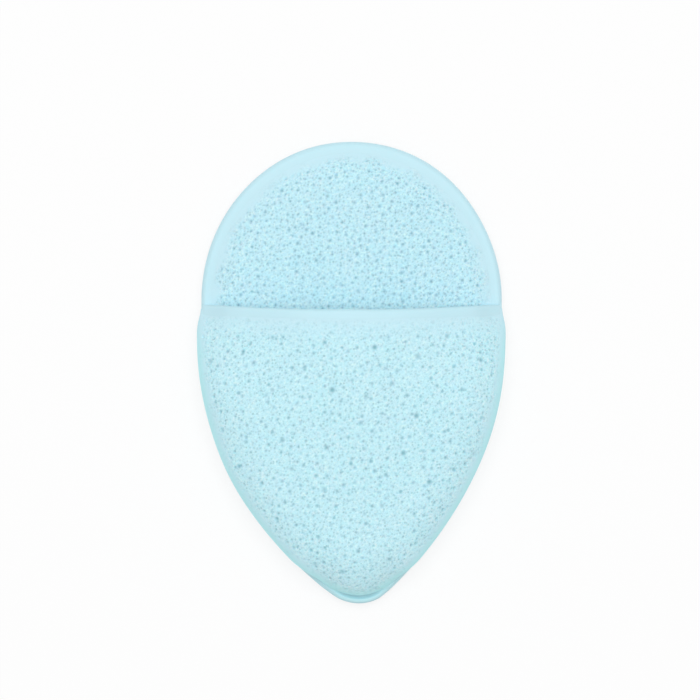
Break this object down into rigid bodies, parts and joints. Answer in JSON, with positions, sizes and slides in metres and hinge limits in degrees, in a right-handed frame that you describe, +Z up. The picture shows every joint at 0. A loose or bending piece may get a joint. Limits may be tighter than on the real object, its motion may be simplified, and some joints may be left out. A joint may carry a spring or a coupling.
{
  "type": "makeup remover sponge",
  "caption": "Teardrop makeup remover sponge of soft open-cell foam with a heat-pressed edge; its front layer forms a pocket that holds it on the fingers.",
  "frame": {"origin": "middle of the length and width, on the flat back that touches the skin", "axes": "+Z up from the flat back towards the pocket, +Y towards the round end, -Y towards the tip, +X across"},
  "size_m": [0.0802, 0.12, 0.0189],
  "materials": {
    "foam": "open-cell polyurethane foam, matte and porous",
    "sealed_foam": "the same foam, heat-pressed to a smooth satin skin"
  },
  "bodies": {
    "back": {"back_pad": "foam", "upper_rim": "sealed_foam", "side_seam": "sealed_foam"},
    "pocket": {"pocket_panel": "foam", "mouth_lip": "sealed_foam"}
  },
  "joints": [
    {"name": "pocket_mouth", "type": "hinge", "parent": "back", "child": "pocket", "pos_m": [0.002, -0.0569, 0.0058], "axis": [1, 0, 0], "range_deg": [0, 12], "stiffness_Nm_per_rad": 0.05}
  ]
}
